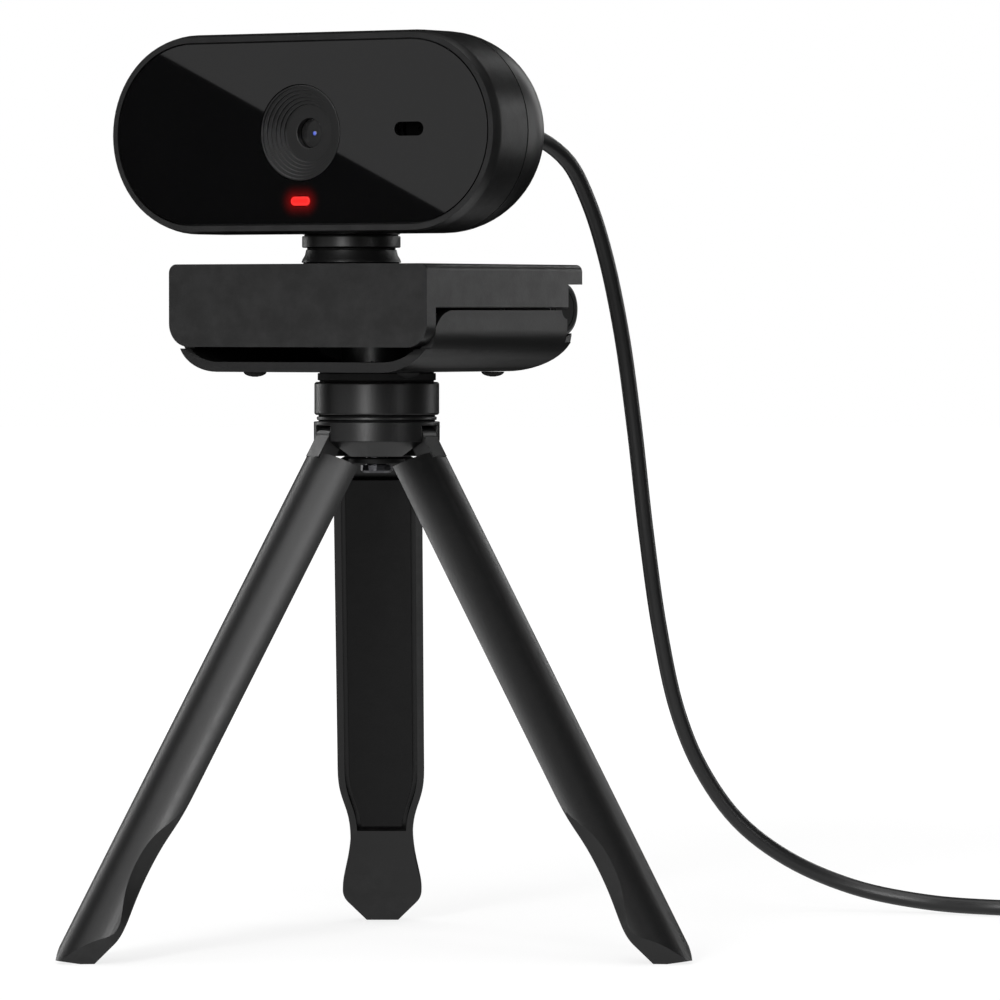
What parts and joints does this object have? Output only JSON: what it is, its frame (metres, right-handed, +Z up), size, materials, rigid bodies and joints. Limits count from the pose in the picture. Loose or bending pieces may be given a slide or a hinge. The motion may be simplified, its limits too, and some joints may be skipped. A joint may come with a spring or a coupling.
{
  "type": "webcam on tripod",
  "caption": "Pill-shaped USB webcam on a folding monitor clip, screwed to a table tripod whose legs fold and whose platform turns, with its cable.",
  "frame": {"origin": "on the surface that the feet stand on, under the middle of the box of the object without its cable", "axes": "+Z up; -Y towards the viewer whom the webcam looks past; the webcam looks along -Y turned 33 degrees towards -X; the rear leg points along +Y"},
  "size_m": [0.2925, 0.1454, 0.1658],
  "materials": {
    "satin_plastic": "fine-grained satin black plastic",
    "matte_plastic": "matte black plastic",
    "gloss_plastic": "polished black acrylic",
    "rubber": "matte black rubber",
    "cable_jacket": "satin black PVC",
    "strap": "black strap",
    "steel": "bright steel",
    "dark_steel": "blackened steel",
    "brass": "turned brass",
    "glass": "coated optical glass",
    "red_lens": "lit red plastic",
    "circuit_board": "green solder mask"
  },
  "bodies": {
    "hub": {"tripod_hub": "satin_plastic", "hub_cap": "matte_plastic", "pan_washer": "satin_plastic", "leg_pin_left": "steel", "leg_pin_right": "steel", "leg_pin_rear": "steel"},
    "leg_left": {"leg_shell_left": "satin_plastic", "leg_inlay_left": "matte_plastic"},
    "leg_right": {"leg_shell_right": "satin_plastic", "leg_inlay_right": "matte_plastic"},
    "leg_rear": {"leg_shell_rear": "satin_plastic", "leg_inlay_rear": "matte_plastic"},
    "platform": {"clip_jaw": "satin_plastic", "thread_insert": "brass", "desk_foot_front_left": "rubber", "desk_foot_front_right": "rubber", "desk_foot_rear_left": "rubber", "desk_foot_rear_right": "rubber", "hinge_pin": "steel", "pan_bolt": "dark_steel", "platform_collar": "satin_plastic", "camera_screw": "steel", "platform_pad": "rubber", "usb_cable_lower": "cable_jacket", "cable_coil": "cable_jacket", "usb_cable_tail": "cable_jacket", "coil_tie": "strap", "plug_body": "matte_plastic", "plug_shell": "steel"},
    "clip_arm": {"clip_arm": "satin_plastic", "flap_pad": "rubber", "hinge_cap_left": "matte_plastic", "hinge_cap_right": "matte_plastic", "neck_base": "satin_plastic", "usb_cable_upper": "cable_jacket"},
    "head": {"front_housing": "satin_plastic", "front_window": "gloss_plastic", "rear_shell": "satin_plastic", "housing_screw_left": "dark_steel", "housing_screw_right": "dark_steel", "lens_hood": "matte_plastic", "lens_barrel": "matte_plastic", "lens_glass": "glass", "lens_holder": "matte_plastic", "main_board": "circuit_board", "board_screw_left": "steel", "board_screw_right": "steel", "image_sensor": "glass", "status_led": "red_lens", "light_pipe": "red_lens", "microphone": "dark_steel", "strain_relief": "rubber", "neck_collar": "satin_plastic", "swivel_post": "steel", "swivel_washer": "steel", "swivel_screw": "dark_steel"}
  },
  "joints": [
    {"name": "fold_left", "type": "hinge", "parent": "hub", "child": "leg_left", "pos_m": [-0.00831, -0.01573, 0.09329], "axis": [0.5, -0.866, 0], "range_deg": [0, 30]},
    {"name": "fold_right", "type": "hinge", "parent": "hub", "child": "leg_right", "pos_m": [0.00831, -0.01573, 0.09329], "axis": [0.5, 0.866, 0], "range_deg": [0, 30]},
    {"name": "fold_rear", "type": "hinge", "parent": "hub", "child": "leg_rear", "pos_m": [0, -0.00133, 0.09329], "axis": [-1, 0, 0], "range_deg": [0, 30]},
    {"name": "tripod_pan", "type": "hinge", "parent": "hub", "child": "platform", "pos_m": [0, -0.01093, 0.09649], "axis": [0, 0, 1], "continuous": true},
    {"name": "clip_fold", "type": "hinge", "parent": "platform", "child": "clip_arm", "pos_m": [0.01138, 0.0066, 0.11629], "axis": [0.8387, -0.5446, 0], "range_deg": [-95, 0], "deforming": ["usb_cable_lower"]},
    {"name": "head_pan", "type": "hinge", "parent": "clip_arm", "child": "head", "pos_m": [-0.00447, -0.01781, 0.12844], "axis": [0, 0, 1], "range_deg": [-90, 90], "deforming": ["usb_cable_upper"]}
  ]
}
